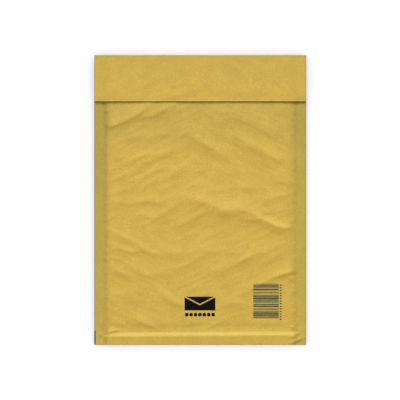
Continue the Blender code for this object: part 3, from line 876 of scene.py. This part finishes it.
@dataclass(frozen=True)
class ToneAndPaintedLight:
    """Where the seams' paper is pressed to a darker tone, and where shade and highlight are painted on the
    paper.

    A pair holds the value on the left half of the mailer, then the one on the right half.
    """

    jag: float = 1.2 * MM
    jag_size: float = 4.5 * MM
    jag_side: float = 9.0
    # The seams' darker pressed tone, and painted shade on the shoulders; both are painted lighter towards
    # the bottom fold.
    slope_reach: float = 0.95
    slope_level: Pair = (0.78, 0.70)
    slope_fade: Pair = (0.5, 0.56)
    seam_edge: float = 0.9 * MM
    seam_level: Pair = (1.0, 0.97)
    seam_fade: Pair = (0.25, 0.4)
    loose_top: float = -128.0 * MM
    loose_edge: float = 0.8 * MM
    loose_level: float = 0.45
    # Painted shade on the front below the flap, and on the flap, deeper towards its top fold.
    flap_shade_level: float = 0.45
    flap_shade_start: float = 14.0 * MM
    flap_shade_reach: float = 50.0 * MM
    flap_level: float = 0.12
    flap_rise: float = 0.3
    flap_reach: float = 40.0 * MM
    # Painted shade in the crease along each seam, on the seams and shoulders towards the flap, and along
    # the top fold.
    line_inset: float = 1.6 * MM
    line_width: float = 1.1 * MM
    line_level: float = 0.15
    line_jag: float = 0.3
    top_shade_level: Pair = (0.31, 0.2)
    top_shade_fade: float = 1.5
    fold_level: float = 0.6
    fold_start: float = 1.2 * MM
    fold_edge: float = 0.9 * MM
    # Painted highlight on the roll, strongest on its lit steep side.
    highlight_level: float = 0.3
    highlight_rise: float = 0.7
    highlight_start: float = 0.8 * MM
    highlight_edge: float = 1.2 * MM
    highlight_end: float = 1.5 * MM
    highlight_fade: float = 2.5 * MM

    def shares(self, form: MailerForm, x: np.ndarray, y: np.ndarray) -> dict[str, np.ndarray]:
        """How much pressed tone, painted shade and painted highlight the paper takes at some places.

        Args:
            form: The mailer's form.
            x: Places across the mailer.
            y: Places up the mailer.

        Returns:
            The shares of pressed tone with painted shade, of painted shade, and of painted highlight.
        """
        down = np.clip((form.flap_edge - y) / (form.flap_edge - form.bottom), 0, 1)
        from_seam = np.abs(x) - form.seam_x
        jagged = self.jaggedness(x, y)
        # The seams' pressed tone, with painted shade on the shoulders.
        side = self.seam_tone_and_shade(form, x, y, from_seam + self.jag * jagged, down)
        # Painted shade on the front below the flap's edge, fading down the mailer.
        shade_end = form.flap_edge - self.flap_shade_start
        under_flap = self.flap_shade_level * (1 - smooth((shade_end - y) / self.flap_shade_reach))
        # On the flap: a little darker all over, and painted shade that deepens towards the top fold.
        rise = np.clip((y - form.top + self.flap_reach) / self.flap_reach, 0, 1)
        off_flap = y < form.flap_edge
        on_flap = self.flap_level + self.flap_rise * rise
        pressed_and_shade = np.where(off_flap, 1 - (1 - side) * (1 - under_flap), on_flap)
        # Painted shade in the crease where each seam meets its shoulder.
        line = np.exp(-((from_seam + self.line_inset + self.jag * jagged) / self.line_width) ** 2)
        line = line * np.clip(self.line_level + self.line_jag * jagged, 0, 1)
        # Painted shade on the seams and shoulders, deepest by the flap.
        top_shade = np.where(x < 0, *self.top_shade_level) * side * (1 - down) ** self.top_shade_fade
        # Painted shade along the top fold.
        fold_shade = smooth((y - form.top + self.fold_start) / self.fold_edge)
        painted_shade = (line + top_shade) * off_flap + self.fold_level * fold_shade
        return {"pressed_and_shade": pressed_and_shade, "painted_shade": painted_shade, "roll_highlight": self.roll_highlight(form, x, y)}

    def jaggedness(self, x: np.ndarray, y: np.ndarray) -> np.ndarray:
        """Unevenness of the seams' edges up the mailer, different on its two sides."""
        return np.array([
            noise.noise(Vector((math.copysign(self.jag_side, u), v / self.jag_size, 0.0)))
            for u, v in zip(x, y)
        ])

    def seam_tone_and_shade(
        self, form: MailerForm, x: np.ndarray, y: np.ndarray, edge: np.ndarray, down: np.ndarray,
    ) -> np.ndarray:
        """How dark the seams and their shoulders are: the seams' pressed tone, and painted shade on the
        shoulders.

        Args:
            form: The mailer's form.
            x: Places across the mailer.
            y: Places up the mailer.
            edge: How far each place lies outside the seam's jagged edge.
            down: How far each place lies down from the flap, from 0 to 1.

        Returns:
            The share, from 0 to 1.
        """
        on_left = x < 0
        slope = np.clip(1 + edge / (self.slope_reach * form.shoulder(x)), 0, 1)
        slope_level, slope_fade = (np.where(on_left, *pair) for pair in (self.slope_level, self.slope_fade))
        seam_level, seam_fade = (np.where(on_left, *pair) for pair in (self.seam_level, self.seam_fade))
        # Seams and shoulders are painted lighter down the mailer.
        slope = slope * (slope_level - slope_fade * down)
        seam = smooth((edge + self.seam_edge) / self.seam_edge) * (seam_level * (1 - seam_fade * down))
        loose_end = smooth((self.loose_top - y) / self.loose_edge) * on_left
        return np.maximum(seam, slope) * (1 - self.loose_level * loose_end)

    def roll_highlight(self, form: MailerForm, x: np.ndarray, y: np.ndarray) -> np.ndarray:
        """The painted highlight on the roll: full on its lit steep side, weaker on the strip below its
        crest.
        """
        crest, furrow = form.roll_lines(x)
        on_slope = smooth((y - crest + self.highlight_start) / self.highlight_edge)
        below = smooth((furrow + self.highlight_end - y) / self.highlight_fade)
        return below * (self.highlight_level + self.highlight_rise * on_slope) * form.side_fullness(x)


@dataclass
class PaperEnvelope:
    """The one sheet of paper: flap, top fold, back panel, bottom fold and crumpled front."""

    form: MailerForm
    material: bpy.types.Material
    ripples: Ripples = Ripples()
    tone_and_light: ToneAndPaintedLight = ToneAndPaintedLight()
    cell: float = 1.1 * MM
    wide_cell: float = 1.65 * MM
    seam_cell: float = 0.7 * MM
    coarse_cell: float = 6.0 * MM
    flap_cell: float = 2.2 * MM
    fine_inside: float = 6.0 * MM
    fine_outside: float = 5.0 * MM
    fold_rows: int = 12
    crease_rows: int = 6
    lip_rows: int = 4
    roll_rows: int = 10
    roll_shares: Pair = (0.05, 0.15)
    step_rows: int = 5
    furrow_rows: int = 13
    undulation: float = 0.10 * MM
    undulation_size: float = 14.0 * MM
    undulation_octaves: int = 3
    deepest: float = 0.26 * MM
    pucker: float = 0.35 * MM
    pucker_size: float = 3.2 * MM
    pucker_reach: float = 3.4 * MM
    pucker_inset: float = 0.55
    pucker_stretch: float = 3.0
    pucker_side: float = 20.0
    pucker_layer: float = 1.3
    pucker_smoothness: float = 0.7
    pucker_octaves: int = 2
    pucker_floor: float = 0.05
    pinch_mm: float = 0.5
    pinch_sides_mm: Pair = (1.6, 1.2)
    pinch_route: Route = ((0.0, -0.8, 0.0), (2.4, 0.0, 1.0), (7.0, 1.8, 0.0))
    corner_fade: float = 2.5 * MM
    flap_stretch: float = 2.0
    flap_softness: float = 2.2
    flap_fade: float = 6.0 * MM

    def columns(self) -> np.ndarray:
        """Places across the sheet, closer together where a seam meets its shoulder."""
        form = self.form
        inner = form.seam_x - self.fine_inside
        outer = form.seam_x + self.fine_outside
        middle = steps((-inner, inner), self.wide_cell)
        shoulder = steps((inner, outer), self.seam_cell)[1:]
        seam = steps((outer, form.half_width), self.wide_cell)[1:]
        side = np.concatenate((shoulder, seam))
        return np.concatenate((-side[::-1], middle, side))

    def wrinkles(self, x: np.ndarray, y: np.ndarray) -> np.ndarray:
        """Height that the creases, the ripples and the soft unevenness add to the front panel."""
        total = sum(crease.height(x, y) for crease in CREASES)
        total = total + self.ripples.heights(x, y) + self.unevenness(x, y)
        total = np.maximum(total, -self.deepest) * self.form.wrinkle_share(x, y)
        corners = sum(crease.height(x, y) for crease in CORNER_CREASES)
        inside = smooth((self.form.half_width - np.abs(x)) / self.corner_fade)
        return total + corners * inside + self.puckers(x, y) + self.pinches(x, y)

    def pinches(self, x: np.ndarray, y: np.ndarray) -> np.ndarray:
        """Short creases that run from the side seams into the padding.

        Their route is in millimetres inwards and up, with a share of the height.
        """
        seam = self.form.seam_x / MM
        total = np.zeros(x.shape)
        for side, places in ((-1, LEFT_PINCHES_MM), (1, RIGHT_PINCHES_MM)):
            for place in places:
                path = tuple(
                    (side * (seam - inwards), place + up, share * self.pinch_mm)
                    for inwards, up, share in self.pinch_route
                )
                total += Crease(*self.pinch_sides_mm, path).height(x, y)
        return total

    def puckers(self, x: np.ndarray, y: np.ndarray) -> np.ndarray:
        """Small gathers along the line where each seam pinches the padded body."""
        form = self.form
        centre = form.seam_x - self.pucker_reach * self.pucker_inset
        near = np.clip(1 - (np.abs(np.abs(x) - centre) / self.pucker_reach) ** 2, 0, 1)
        u = np.sign(x) * self.pucker_side + x / (self.pucker_stretch * self.pucker_size)
        v = y / self.pucker_size
        rough = fractal(u, v, self.pucker_layer, self.pucker_smoothness, self.pucker_octaves)
        gathers = np.clip(rough - self.pucker_floor, 0, 1)
        return self.pucker * near * gathers * form.open_share(y)

    def unevenness(self, x: np.ndarray, y: np.ndarray) -> np.ndarray:
        """Soft hollows and swellings of paper that lies loose on film."""
        flat = np.array([
            noise.fractal(
                Vector((u, v, 0.0)) / self.undulation_size, 1.0, LACUNARITY, self.undulation_octaves,
            )
            for u, v in zip(x.ravel(), y.ravel())
        ])
        return self.undulation * flat.reshape(x.shape)

    def front(self, across: np.ndarray) -> Grid:
        """Outer face of the front panel, from the bottom fold to the mouth."""
        form = self.form
        crest, furrow = form.roll_lines(across)
        start = form.bottom + form.rounding_reach(across)
        first, second = self.roll_shares
        up_roll = np.concatenate(([0, first], np.linspace(second, 1, self.roll_rows)))
        down_step = np.linspace(0, 1, self.step_rows + 1)[1:]
        up_furrow = np.linspace(0, 1, self.furrow_rows + 1)[1:]
        rows = [start + (crest - start) * share for share in up_roll]
        rows += [crest + (furrow - crest) * share for share in down_step]
        rows += [furrow + (form.body_start - furrow) * share for share in up_furrow]
        covered = form.flap_edge + form.wrinkle_fade
        high = steps((form.body_start, covered), self.cell)[1:]
        high = np.concatenate((high, steps((covered, form.mouth), self.coarse_cell)[1:]))
        y = np.vstack((*rows, np.repeat(high[:, None], len(across), axis=1)))
        x = np.repeat(across[None, :], len(y), axis=0)
        return x, y, form.front_height(x, y) + self.wrinkles(x, y)

    def back(self, across: np.ndarray) -> Grid:
        """Outer face of the back panel, from the top fold to the bottom fold."""
        form = self.form
        low = form.bottom + form.rounding_reach(across)
        high = form.top - form.crease_reach_below
        count = round((high - low.min()) / self.coarse_cell)
        shares = np.linspace(0, 1, count + 1)[:, None]
        y = high + (low - high) * shares
        x = np.repeat(across[None, :], len(y), axis=0)
        return x, y, form.back_height(x)

    def bottom_fold(self, across: np.ndarray, top_height: np.ndarray) -> Grid:
        """Outer face of the bottom fold, between the back and the front."""
        form = self.form
        turns = np.linspace(-math.pi / 2, math.pi / 2, self.fold_rows + 1)[1:-1]
        x, turn = np.meshgrid(across, turns)
        low = form.back_height(x)
        y = form.bottom + form.rounding_reach(x) * (1 - np.cos(turn))
        return x, y, (top_height + low) / 2 + (top_height - low) / 2 * np.sin(turn)

    def flap(self, across: np.ndarray) -> Grid:
        """Outer face of the flap and of the top fold, down to the back."""
        form = self.form
        fold_start = form.top - form.crease_reach_above
        lip = form.flap_edge + form.lip_width
        up = np.concatenate((
            steps((form.flap_edge, lip), form.lip_width / self.lip_rows),
            steps((lip, fold_start), self.flap_cell)[1:],
        ))
        x, y = np.meshgrid(across, up)
        soft = self.unevenness(x / self.flap_stretch, y) * self.flap_softness
        soft = soft + sum(crease.height(x, y) for crease in FLAP_CREASES)
        soft = soft + self.ripples.heights(x, y)
        from_edges = np.minimum(y - form.flap_edge, fold_start - y) / self.flap_fade
        z = form.flap_height(x, y) + soft * smooth(from_edges) * form.side_fullness(x)
        crease = z[-1:] - form.crease_drop
        quarter = np.linspace(math.pi / 2, 0, self.crease_rows + 1)
        above_x, above = np.meshgrid(across, quarter[1:])
        above_y = form.top - form.crease_reach_above * (1 - np.cos(above))
        below_x, below = np.meshgrid(across, quarter[::-1][1:-1])
        below_y = form.top - form.crease_reach_below * (1 - np.cos(below))
        below_z = crease - (crease - form.back_height(below_x)) * np.sin(below)
        return (
            np.vstack((x, above_x, below_x)),
            np.vstack((y, above_y, below_y)),
            np.vstack((z, crease + form.crease_drop * np.sin(above), below_z)),
        )

    def mark_tone_and_light(self, piece: bpy.types.Object) -> None:
        """Stores the paper's pressed tone, painted shade and painted highlight on its vertices, for the
        material to read.
        """
        places = np.empty(len(piece.data.vertices) * 3)
        piece.data.vertices.foreach_get("co", places)
        x, y, _ = places.reshape(-1, 3).T
        for name, values in self.tone_and_light.shares(self.form, x, y).items():
            attribute = piece.data.attributes.new(name, "FLOAT", "POINT")
            attribute.data.foreach_set("value", values.astype(np.float32))

    def build(self) -> tuple[bpy.types.Object, BVHTree]:
        """Makes the paper.

        Returns:
            The piece, and a tree of its outer face for the print to lie on.
        """
        across = self.columns()
        front = self.front(across)
        fold = self.bottom_fold(across, front[2][:1])
        parts = (self.flap(across), self.back(across), fold, front)
        bm = bmesh.new()
        shaped_grid(bm, tuple(np.vstack(grids) for grids in zip(*parts)))
        tree = BVHTree.FromBMesh(bm)
        piece = make_piece("crumpled_paper", bm, self.material)
        self.mark_tone_and_light(piece)
        thicken(piece, self.form.paper, even=True)
        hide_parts("paper_envelope")
        report(piece)
        return piece, tree


@dataclass
class BubbleLining:
    """The bag of bubble film: two layers whose bubbles point into the pocket."""

    form: MailerForm
    material: bpy.types.Material
    film: float = 0.10 * MM
    pad: float = 2.7 * MM
    bubble_radius: float = 4.7 * MM
    pitch: float = 10.6 * MM
    segments: int = 10
    profile: tuple[Pair, ...] = ((1.0, 0.0), (0.98, 0.55), (0.80, 0.88), (0.45, 1.0))
    edge_margin: float = 3.0 * MM
    cell_across: float = 3.0 * MM
    cell_up: float = 4.0 * MM
    bottom_gap: float = 1.2 * MM
    slope_margin: float = 0.1 * MM
    flattest: float = 0.1 * MM

    def bubble(self) -> bpy.types.Mesh:
        """Two bubbles of one zigzag step, open below, standing on their film."""
        bm = bmesh.new()
        step = self.pitch * math.sqrt(3) / 2
        for across, up in ((0, 0), (self.pitch / 2, step)):
            ring = bmesh.ops.create_circle(bm, segments=self.segments, radius=self.bubble_radius)["verts"]
            bmesh.ops.translate(bm, verts=ring, vec=(across, up, 0))
            edges = list({edge for vertex in ring for edge in vertex.link_edges})
            centre = Vector((across, up, 0))
            for (before, _), (share, height) in zip(self.profile, self.profile[1:]):
                made = bmesh.ops.extrude_edge_only(bm, edges=edges)["geom"]
                ring = [item for item in made if isinstance(item, bmesh.types.BMVert)]
                edges = [item for item in made if isinstance(item, bmesh.types.BMEdge)]
                edges = [edge for edge in edges if all(vertex in ring for vertex in edge.verts)]
                for vertex in ring:
                    flat = (vertex.co - centre).to_2d() * share / before
                    vertex.co = (across + flat.x, up + flat.y, height * self.pad)
            bmesh.ops.contextual_create(bm, geom=edges)
        bmesh.ops.recalc_face_normals(bm, faces=bm.faces)
        return new_mesh("Bubbles", bm)

    def field(self) -> bpy.types.Mesh:
        """Rows of bubbles that cover the pocket, in the plane of the film."""
        form = self.form
        wide = 2 * (form.seam_x - self.edge_margin)
        tall = form.mouth - form.bottom - form.end_rounding - 2 * self.edge_margin
        step = self.pitch * math.sqrt(3)
        columns = int((wide - self.pitch) / self.pitch)
        rows = int(tall / step)
        carrier = add_object("Bubble rows", self.bubble())
        for count, offset in ((columns, (self.pitch, 0, 0)), (rows, (0, step, 0))):
            array = carrier.modifiers.new("Row", "ARRAY")
            array.count = count
            array.use_relative_offset = False
            array.use_constant_offset = True
            array.constant_offset_displace = offset
        depsgraph = bpy.context.evaluated_depsgraph_get()
        filled = bpy.data.meshes.new_from_object(carrier.evaluated_get(depsgraph))
        bpy.data.objects.remove(carrier)
        filled.transform(self.centring(columns))
        return filled

    def centring(self, columns: int) -> Matrix:
        """Moves the field of bubbles from the first one to the middle of the pocket."""
        form = self.form
        across = (columns - 0.5) * self.pitch / 2
        low = form.bottom + form.end_rounding + self.edge_margin + self.bubble_radius
        return Matrix.Translation((-across, low, 0))

    def build(self) -> bpy.types.Object:
        """Makes the lining."""
        form = self.form
        across = steps((-form.half_width, -form.seam_x, form.seam_x, form.half_width), self.cell_across)
        up = steps((form.bottom + self.bottom_gap, form.body_start, form.mouth), self.cell_up)
        x, y = np.meshgrid(across, up)
        inner = {
            Panel.FRONT: lambda u, v: form.front_height(u, v) - form.layer_gap - self.slope_allowance(u),
            Panel.BACK: lambda u, v: form.back_height(u) + form.layer_gap + self.slope_allowance(u),
        }
        bm = bmesh.new()
        field = self.field()
        for panel, height in inner.items():
            sheet = shaped_grid(bm, (x, y, height(x, y)))
            if panel is Panel.BACK:
                faces = list({face for vertex in sheet for face in vertex.link_faces})
                bmesh.ops.reverse_faces(bm, faces=faces)
            self.add_bubbles(bm, field, panel, height)
        bpy.data.meshes.remove(field)
        piece = make_piece("bubble_film", bm, self.material)
        thicken(piece, self.film)
        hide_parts("bubble_lining")
        report(piece)
        return piece

    def slope_allowance(self, x: np.ndarray) -> np.ndarray:
        """Extra depth on the shoulders, where the gap is measured down a slope."""
        fullness = self.form.side_fullness(x)
        return self.slope_margin * fullness * (1 - fullness)

    def add_bubbles(
        self, bm: bmesh.types.BMesh, field: bpy.types.Mesh, panel: Panel,
        height: Callable[[np.ndarray, np.ndarray], np.ndarray],
    ) -> None:
        """Adds a panel's bubbles, flattened where the pocket gets thin.

        Args:
            bm: The lining's mesh.
            field: The rows of bubbles.
            panel: Which face of the lining they are on.
            height: Height of that face at a place.
        """
        first = len(bm.verts)
        bm.from_mesh(field)
        bm.verts.ensure_lookup_table()
        made = bm.verts[first:]
        places = np.array([vertex.co for vertex in made])
        base = height(places[:, 0], places[:, 1])
        room = np.abs(base - self.form.middle) - self.form.pocket_slack / 2
        tall = np.clip(room - self.film, self.flattest, self.pad) / self.pad
        z = base + panel.value * (self.film + places[:, 2] * tall)
        for vertex, place, level in zip(made, places, z):
            vertex.co = (place[0], place[1], level)
        if panel is Panel.FRONT:
            faces = list({face for vertex in made for face in vertex.link_faces})
            bmesh.ops.reverse_faces(bm, faces=faces)


@dataclass
class FlapClosure:
    """The self-seal line under the flap: the CAD model's adhesive and its release strip."""

    adhesive: bpy.types.Material
    release: bpy.types.Material

    def dress(self) -> None:
        """Gives the two CAD strips their finishes."""
        for node, material in (("adhesive_strip", self.adhesive), ("release_strip", self.release)):
            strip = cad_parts[node]
            strip.data.materials.clear()
            strip.data.materials.append(material)
            LOG.info("%s: %d faces, dressed", node, len(strip.data.polygons))


@dataclass
class PrintedMark:
    """Ink on the front panel: outlines that are laid on the paper and follow its form."""

    name: str
    material: bpy.types.Material
    paper: BVHTree
    cell: float = 1.3 * MM
    stand: float = 0.05 * MM
    ink: float = 0.02 * MM

    def add_bar(self, bm: bmesh.types.BMesh, left: float, right: float, low: float, high: float) -> None:
        """Adds a rectangle, finely divided.

        Args:
            bm: The mark's flat mesh.
            left: Its left edge.
            right: Its right edge.
            low: Its edge towards the bottom fold.
            high: Its edge towards the top fold.
        """
        x, y = np.meshgrid(steps((left, right), self.cell), steps((low, high), self.cell))
        shaped_grid(bm, (x, y, np.zeros(x.shape)))

    def lay(self, bm: bmesh.types.BMesh) -> bpy.types.Object:
        """Drops the flat mark onto the paper and gives it its thickness.

        Args:
            bm: The mark's flat mesh, which is freed.

        Returns:
            The finished piece.
        """
        above = 0.1
        for vertex in bm.verts:
            hit = self.paper.ray_cast(Vector((vertex.co.x, vertex.co.y, above)), Vector((0, 0, -1)))[0]
            vertex.co.z = hit.z + self.stand + self.ink
        piece = make_piece(self.name, bm, self.material)
        thicken(piece, self.ink)
        report(piece)
        return piece


@dataclass
class StripeCode:
    """A plain row of stripes of the size of a retail code, with small tick marks beside it."""

    ink: bpy.types.Material
    paper: BVHTree
    left: float = 50.0 * MM
    right: float = 74.0 * MM
    low: float = -111.4 * MM
    high: float = -79.0 * MM
    modules: int = 95
    tick_left: float = 75.0 * MM
    tick_right: float = 76.6 * MM
    tick_low: float = -113.6 * MM
    ticks: int = 14
    tick_share: float = 0.45

    def stripes(self) -> list[tuple[float, float]]:
        """Low and high edge of each stripe, with widths that follow a rule and spell nothing."""
        module = (self.high - self.low) / self.modules
        found = []
        at, step = 0, 0
        while at < self.modules:
            bar = 1 + (3 * step * step + 2 * step) % 6 % 4
            gap = 1 + (4 * step * step + 2 * step) % 11 % 3
            found.append((self.low + at * module, self.low + min(at + bar, self.modules) * module))
            at += bar + gap
            step += 1
        return found

    def build(self) -> None:
        """Makes the stripes and the tick marks."""
        stripes = PrintedMark("code_stripes", self.ink, self.paper)
        bm = bmesh.new()
        for low, high in self.stripes():
            stripes.add_bar(bm, self.left, self.right, low, high)
        stripes.lay(bm)
        ticks = PrintedMark("code_ticks", self.ink, self.paper)
        bm = bmesh.new()
        pitch = (self.high - self.tick_low) / self.ticks
        for index in range(self.ticks):
            low = self.tick_low + (index + 0.5 - self.tick_share / 2) * pitch
            ticks.add_bar(bm, self.tick_left, self.tick_right, low, low + self.tick_share * pitch)
        ticks.lay(bm)


@dataclass
class EnvelopeSymbol:
    """A plain printed envelope symbol: a dark block with a pale fold line, and a rule of dots below."""

    ink: bpy.types.Material
    paper: BVHTree
    centre_x: float = -0.3 * MM
    left: float = -14.8 * MM
    right: float = 14.2 * MM
    low: float = -104.0 * MM
    high: float = -91.0 * MM
    line: float = 1.2 * MM
    rule_high: float = -105.4 * MM
    rule_low: float = -110.6 * MM
    dots: int = 7
    dot_share: float = 0.42
    dot_segments: int = 16
    point_share: float = 0.42
    cell: float = 0.65 * MM

    def build(self) -> None:
        """Makes the symbol."""
        mark = PrintedMark("envelope_symbol", self.ink, self.paper, cell=self.cell)
        bm = bmesh.new()
        mark.add_bar(bm, self.left, self.right, self.low, self.high)
        tall = self.high - self.low
        point = Vector((self.centre_x, self.low + self.point_share * tall, 0))
        pale = []
        for corner_x in (self.left, self.right):
            corner = Vector((corner_x, self.high, 0))
            run = (point - corner).normalized()
            square = Vector((-run.y, run.x, 0))
            for side in (-1, 1):
                geometry = bm.verts[:] + bm.edges[:] + bm.faces[:]
                bmesh.ops.bisect_plane(
                    bm, geom=geometry, plane_co=corner + square * side * self.line / 2, plane_no=square,
                )
            pale.append((corner, square, corner_x < self.centre_x))
        for face in bm.faces[:]:
            middle = face.calc_center_median()
            for corner, square, is_left in pale:
                on_this_half = (middle.x < self.centre_x) == is_left
                if on_this_half and abs((middle - corner).dot(square)) < self.line / 2:
                    bm.faces.remove(face)
                    break
        bmesh.ops.delete(bm, geom=[v for v in bm.verts if not v.link_faces], context="VERTS")
        pitch = (self.right - self.left) / self.dots
        radius = min((self.rule_high - self.rule_low) / 2, self.dot_share * pitch)
        for index in range(self.dots):
            dot = bmesh.ops.create_circle(
                bm, cap_ends=True, cap_tris=True, segments=self.dot_segments, radius=radius,
            )
            across = self.left + (index + 0.5) * pitch
            middle = (self.rule_high + self.rule_low) / 2
            bmesh.ops.translate(bm, verts=dot["verts"], vec=(across, middle, 0))
            edges = list({edge for vertex in dot["verts"] for edge in vertex.link_edges})
            bmesh.ops.subdivide_edges(bm, edges=edges, cuts=2, use_grid_fill=True)
        mark.lay(bm)


@dataclass
class RegisterMark:
    """The short cut mark that the printer leaves on the very edge of the left seam."""

    ink: bpy.types.Material
    paper: BVHTree
    form: MailerForm
    width: float = 1.1 * MM
    low: float = -136.0 * MM
    high: float = -123.4 * MM
    inset: float = 0.02 * MM
    cell: float = 0.5 * MM

    def build(self) -> None:
        """Makes the mark."""
        mark = PrintedMark("register_mark", self.ink, self.paper, cell=self.cell)
        bm = bmesh.new()
        left = -self.form.half_width + self.inset
        mark.add_bar(bm, left, left + self.width, self.low, self.high)
        mark.lay(bm)


@dataclass
class Studio:
    """White floor, soft light from the flap's side and all round, and the camera straight above."""

    key_level: float = 0.55
    sky_level: float = 0.45
    floor_glow: float = 0.70
    floor_tint: Colour = (0.905, 0.93, 1.02)
    # Depth and reach of the painted shadow in the floor's glow.
    floor_shade: float = 0.6
    floor_reach: float = 0.10
    key_distance: float = 8.0
    key_height_deg: float = 42.0
    key_size: float = 4.6
    camera_height: float = 3.0
    measured_height: float = 6.5 * MM
    sensor_mm: float = 36.0
    offset_x_pixels: float = 0.25
    offset_y_pixels: float = 0.09
    floor_size: float = 4.0
    floor_gap: float = 0.05 * MM
    floor_tones: Pair = (0.945, 0.955)
    floor_mottle: float = 4.0
    floor_samples: int = 16

    def build(self) -> None:
        """Makes the floor, the light and the camera."""
        self.light(self.floor())
        self.camera()

    def floor(self) -> bpy.types.Object:
        """A white floor that keeps the mailer's shadow from the sky, and a painted shadow in its glow."""
        material, kit, shader = new_material("White floor")
        path = kit.node("ShaderNodeLightPath")
        seen = kit.maths("MAXIMUM", path.outputs["Is Camera Ray"], path.outputs["Is Glossy Ray"])
        seen = kit.maths("MAXIMUM", seen, path.outputs["Is Transmission Ray"])
        mottle = kit.node("ShaderNodeTexNoise", {"Vector": kit.place(), "Scale": self.floor_mottle})
        tone = kit.spread(mottle.outputs[0], 0.0, 1.0, *self.floor_tones)
        colour = kit.node("ShaderNodeCombineColor", {0: tone, 1: tone, 2: tone}).outputs[0]
        kit.fill(shader, {"Base Color": colour, "Roughness": 1.0, "Specular IOR Level": 0.0})
        # Ambient occlusion darkens the glow near the mailer: a painted shadow beside the real one from the
        # sky.
        open_sky = kit.node(
            "ShaderNodeAmbientOcclusion", {"Distance": self.floor_reach}, samples=self.floor_samples,
        )
        shaded = kit.spread(open_sky.outputs["AO"], 0.0, 1.0, 1 - self.floor_shade, 1.0)
        strength = kit.maths("MULTIPLY", kit.maths("MULTIPLY", seen, self.floor_glow), shaded)
        glow = kit.node("ShaderNodeEmission", {"Color": (*self.floor_tint, 1.0), "Strength": strength})
        both = kit.node("ShaderNodeAddShader", {0: shader.outputs[0], 1: glow.outputs[0]})
        kit.fill(material.node_tree.nodes["Material Output"], {"Surface": both.outputs[0]})
        bm = bmesh.new()
        corners = bmesh.ops.create_grid(bm, x_segments=1, y_segments=1, size=self.floor_size / 2)["verts"]
        bmesh.ops.translate(bm, verts=corners, vec=(0, 0, -self.floor_gap))
        mesh = new_mesh("floor", bm)
        mesh.materials.append(material)
        floor = add_object("floor", mesh)
        return floor

    def light(self, floor: bpy.types.Object) -> None:
        """A soft lamp beyond the flap that doesn't shade the floor, and an even sky.

        Args:
            floor: The floor, which only the sky lights.
        """
        height = math.radians(self.key_height_deg)
        lamp = bpy.data.lights.new("Key", "AREA")
        lamp.shape = "DISK"
        lamp.size = self.key_size
        lamp.energy = self.key_level * (math.pi * self.key_distance) ** 2 / math.sin(height)
        key = add_object("Key", lamp)
        key.location = (0, self.key_distance * math.cos(height), self.key_distance * math.sin(height))
        key.rotation_euler = (-(math.pi / 2 - height), 0, 0)
        unlit = bpy.data.collections.new("Not lit by the key")
        unlit.objects.link(floor)
        unlit.collection_objects[0].light_linking.link_state = "EXCLUDE"
        key.light_linking.receiver_collection = unlit
        world = bpy.data.worlds.new("Studio")
        world.use_nodes = True
        sky = world.node_tree.nodes["Background"]
        sky.inputs["Color"].default_value = (1, 1, 1, 1)
        sky.inputs["Strength"].default_value = self.sky_level
        bpy.context.scene.world = world

    def camera(self) -> None:
        """A long lens straight above, so that the mailer's sides stand upright."""
        pixel = 2 * MailerForm.from_frame().half_width / PHOTO_MAILER_PIXELS
        lens = bpy.data.cameras.new("Camera")
        lens.sensor_width = self.sensor_mm
        lens.lens = self.sensor_mm * (self.camera_height - self.measured_height) / (PHOTO_PIXELS * pixel)
        camera = add_object("Camera", lens)
        camera.location = (-self.offset_x_pixels * pixel, self.offset_y_pixels * pixel, self.camera_height)
        bpy.context.scene.camera = camera


def main() -> None:
    """Builds the mailer's pieces in order, then the studio."""
    logging.basicConfig(level=logging.INFO, format="%(name)s: %(message)s")
    bpy.context.scene.view_settings.view_transform = "Standard"
    form = MailerForm.from_frame()
    fibres = fibre_group()
    # Its colours: the paper's own, pressed seams with painted shade, painted shade, and a painted highlight
    # on the roll.
    brown = PaperFinish(
        "Brown paper", srgb(213, 177, 75), srgb(190, 165, 72), srgb(154, 130, 56), srgb(217, 189, 81),
        roughness=0.62,
    ).build(fibres)
    release = PaperFinish(
        "Release paper", srgb(238, 235, 224), srgb(230, 228, 218), srgb(214, 210, 200), srgb(238, 235, 224),
        roughness=0.42, crinkle=0.02 * MM,
    ).build(fibres)
    film = FilmFinish("Bubble film", srgb(232, 238, 240), roughness=0.22, alpha=0.55).build()
    adhesive = FilmFinish("Hot-melt adhesive", srgb(236, 222, 176), roughness=0.3, alpha=0.9).build()
    black = InkFinish("Black ink", srgb(5, 4, 3), show_through=0.03).build(fibres)
    teal = InkFinish("Dark teal ink", srgb(66, 84, 68), show_through=0.12).build(fibres)
    blue = InkFinish("Dark blue ink", srgb(22, 32, 38), show_through=0.05).build(fibres)

    _, paper = PaperEnvelope(form, brown).build()
    BubbleLining(form, film).build()
    FlapClosure(adhesive, release).dress()
    EnvelopeSymbol(black, paper).build()
    StripeCode(teal, paper).build()
    RegisterMark(blue, paper, form).build()
    Studio().build()


if __name__ == "__main__":
    main()
